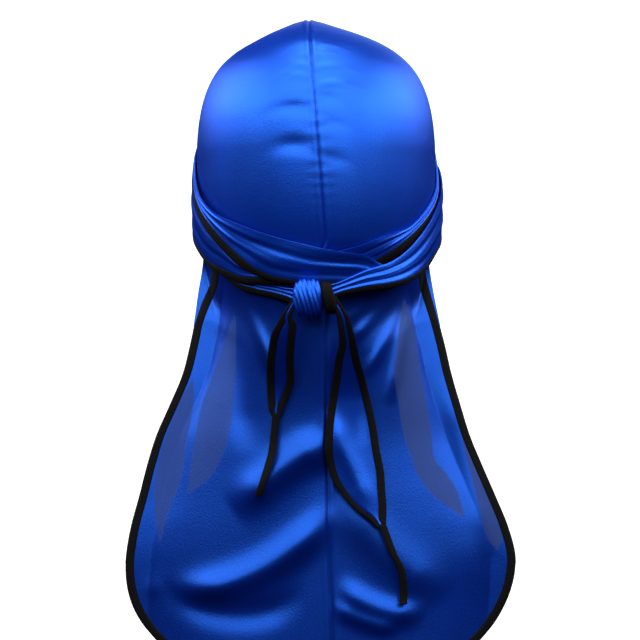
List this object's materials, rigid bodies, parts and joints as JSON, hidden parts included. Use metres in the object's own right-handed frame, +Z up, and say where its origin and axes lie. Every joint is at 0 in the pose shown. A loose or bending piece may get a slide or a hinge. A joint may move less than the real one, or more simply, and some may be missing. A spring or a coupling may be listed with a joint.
{
  "type": "durag",
  "caption": "Satin durag as worn: two-panel crown with a ridge seam, two taped ties wound round the head and knotted behind, and a long taped cape.",
  "frame": {"origin": "inside of the crown's top, where the wearer's head bears", "axes": "+Z up, +X to the wearer's right, +Y towards the wearer's face; the knot and the cape are at -Y"},
  "size_m": [0.2443, 0.2063, 0.4112],
  "materials": {
    "satin": "royal blue polyester satin, fine weave, soft sheen",
    "edge_tape": "black folded edge tape, matt"
  },
  "bodies": {
    "root": {"crown_left_panel": "satin", "crown_right_panel": "satin", "tie_left": "satin", "tie_right": "satin", "tie_left_tape": "edge_tape", "tie_right_tape": "edge_tape", "cape_left_panel": "satin", "cape_right_panel": "satin", "cape_tape": "edge_tape", "knot": "satin", "knot_tape": "edge_tape", "tail_left": "satin", "tail_left_tape_left": "edge_tape", "tail_left_tape_right": "edge_tape", "tail_left_tip": "edge_tape", "tail_right": "satin", "tail_right_tape_left": "edge_tape", "tail_right_tape_right": "edge_tape", "tail_right_tip": "edge_tape"}
  },
  "joints": []
}
